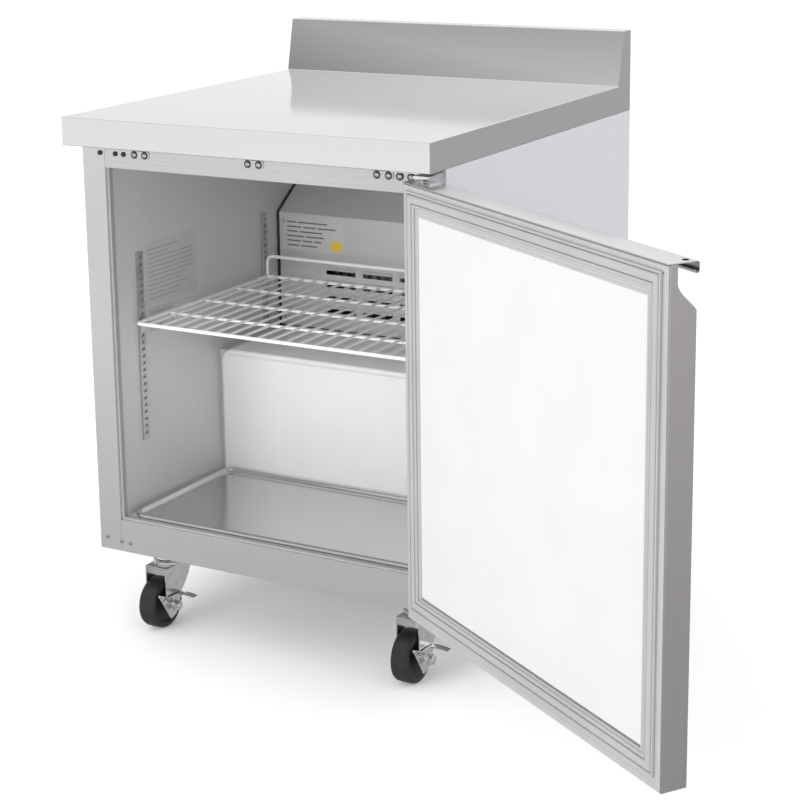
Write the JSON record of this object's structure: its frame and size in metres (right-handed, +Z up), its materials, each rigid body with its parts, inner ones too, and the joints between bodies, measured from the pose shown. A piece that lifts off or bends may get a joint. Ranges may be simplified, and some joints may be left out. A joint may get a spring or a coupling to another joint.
{
  "type": "worktop refrigerator",
  "caption": "Single-door undercounter worktop refrigerator with backsplash, scooped door pull, wire shelf, rear cooling unit and swivel casters.",
  "frame": {"origin": "bottom centre of the object's box on the floor, with the door open as stored", "axes": "+Z up from the floor, +Y towards the back of the cabinet, +X to the right as seen from the front"},
  "size_m": [1.2596, 1.1412, 1.018],
  "materials": {
    "stainless": "brushed",
    "bright_zinc": "bright plated",
    "zinc_plated": "satin plated",
    "galvanised": "spangled",
    "liner_aluminium": "satin",
    "fin_aluminium": "bright fins",
    "white_plastic": "smooth",
    "white_coating": "dipped coating",
    "grey_plastic": "satin",
    "gasket_vinyl": "soft vinyl",
    "seal_rubber": "foam rubber",
    "foam": "foamed in place",
    "black_metal": "gloss enamel",
    "black_plastic": "moulded",
    "wheel_plastic": "hard rubber",
    "copper": "drawn tube"
  },
  "bodies": {
    "cabinet": {"worktop": "stainless", "worktop_core": "foam", "side_panel_left": "stainless", "side_panel_right": "stainless", "top_rail": "stainless", "sill_rail": "stainless", "rear_panel": "galvanised", "base_pan": "zinc_plated", "insulation_left": "foam", "insulation_right": "foam", "insulation_floor_rear": "foam", "liner": "liner_aluminium", "hump_moulding": "white_plastic", "floor_tray": "stainless", "breaker_frame": "grey_plastic", "pilaster_front_left": "zinc_plated", "shelf_clip_front_left": "zinc_plated", "pilaster_front_right": "zinc_plated", "shelf_clip_front_right": "zinc_plated", "pilaster_rear_left": "zinc_plated", "shelf_clip_rear_left": "zinc_plated", "pilaster_rear_right": "zinc_plated", "shelf_clip_rear_right": "zinc_plated", "evaporator_cover": "liner_aluminium", "cover_seal": "seal_rubber", "evaporator_coil": "fin_aluminium", "evaporator_fan_motor": "black_metal", "compressor": "black_metal", "condenser_coil": "black_metal", "condenser_fan_motor": "black_metal", "refrigerant_line": "copper", "rear_grille": "stainless", "thermostat_box": "grey_plastic", "power_inlet": "black_plastic", "hinge_bracket_top": "bright_zinc", "hinge_bracket_bottom": "bright_zinc", "caster_plate_front_left": "bright_zinc", "caster_plate_front_right": "bright_zinc", "caster_plate_rear_left": "bright_zinc", "caster_plate_rear_right": "bright_zinc"},
    "door": {"door_skin": "stainless", "door_top_plate": "stainless", "door_foam": "foam", "door_inner_frame": "grey_plastic", "door_liner_panel": "white_plastic", "door_gasket": "gasket_vinyl"},
    "shelf": {"wire_shelf": "white_coating"},
    "evaporator_fan": {"evaporator_fan_blade": "fin_aluminium"},
    "condenser_fan": {"condenser_fan_blade": "fin_aluminium"},
    "thermostat": {"thermostat_knob": "black_plastic"},
    "caster_front_left": {"caster_fork_front_left": "bright_zinc"},
    "wheel_front_left": {"caster_wheel_front_left": "wheel_plastic"},
    "brake_front_left": {"brake_lever_front_left": "bright_zinc"},
    "caster_front_right": {"caster_fork_front_right": "bright_zinc"},
    "wheel_front_right": {"caster_wheel_front_right": "wheel_plastic"},
    "brake_front_right": {"brake_lever_front_right": "bright_zinc"},
    "caster_rear_left": {"caster_fork_rear_left": "bright_zinc"},
    "wheel_rear_left": {"caster_wheel_rear_left": "wheel_plastic"},
    "caster_rear_right": {"caster_fork_rear_right": "bright_zinc"},
    "wheel_rear_right": {"caster_wheel_rear_right": "wheel_plastic"}
  },
  "joints": [
    {"name": "door_hinge", "type": "hinge", "parent": "cabinet", "child": "door", "pos_m": [0.05244, -0.17536, 0.508], "axis": [0, 0, 1], "range_deg": [-147.2, 12]},
    {"name": "shelf_lift", "type": "slide", "parent": "cabinet", "child": "shelf", "axis": [0, 0, 1], "range_m": [0, 0.02]},
    {"name": "evaporator_fan_spin", "type": "hinge", "parent": "cabinet", "child": "evaporator_fan", "pos_m": [-0.28056, 0.40764, 0.524], "axis": [0, 1, 0], "continuous": true},
    {"name": "condenser_fan_spin", "type": "hinge", "parent": "cabinet", "child": "condenser_fan", "pos_m": [-0.43056, 0.41764, 0.262], "axis": [0, 1, 0], "continuous": true},
    {"name": "thermostat_turn", "type": "hinge", "parent": "cabinet", "child": "thermostat", "pos_m": [-0.04556, 0.56664, 0.35], "axis": [0, 1, 0], "range_deg": [-150, 150]},
    {"name": "swivel_front_left", "type": "hinge", "parent": "cabinet", "child": "caster_front_left", "pos_m": [-0.53556, -0.06636, 0.129], "axis": [0, 0, 1], "continuous": true},
    {"name": "roll_front_left", "type": "hinge", "parent": "caster_front_left", "child": "wheel_front_left", "pos_m": [-0.53556, -0.09636, 0.045], "axis": [1, 0, 0], "continuous": true},
    {"name": "brake_front_left", "type": "hinge", "parent": "caster_front_left", "child": "brake_front_left", "pos_m": [-0.51156, -0.09636, 0.045], "axis": [1, 0, 0], "range_deg": [0, 20]},
    {"name": "swivel_front_right", "type": "hinge", "parent": "cabinet", "child": "caster_front_right", "pos_m": [-0.02556, -0.06636, 0.129], "axis": [0, 0, 1], "continuous": true},
    {"name": "roll_front_right", "type": "hinge", "parent": "caster_front_right", "child": "wheel_front_right", "pos_m": [-0.02556, -0.09636, 0.045], "axis": [1, 0, 0], "continuous": true},
    {"name": "brake_front_right", "type": "hinge", "parent": "caster_front_right", "child": "brake_front_right", "pos_m": [-0.00156, -0.09636, 0.045], "axis": [1, 0, 0], "range_deg": [0, 20]},
    {"name": "swivel_rear_left", "type": "hinge", "parent": "cabinet", "child": "caster_rear_left", "pos_m": [-0.53556, 0.49564, 0.129], "axis": [0, 0, 1], "continuous": true},
    {"name": "roll_rear_left", "type": "hinge", "parent": "caster_rear_left", "child": "wheel_rear_left", "pos_m": [-0.53556, 0.46564, 0.045], "axis": [1, 0, 0], "continuous": true},
    {"name": "swivel_rear_right", "type": "hinge", "parent": "cabinet", "child": "caster_rear_right", "pos_m": [-0.02556, 0.49564, 0.129], "axis": [0, 0, 1], "continuous": true},
    {"name": "roll_rear_right", "type": "hinge", "parent": "caster_rear_right", "child": "wheel_rear_right", "pos_m": [-0.02556, 0.46564, 0.045], "axis": [1, 0, 0], "continuous": true}
  ]
}
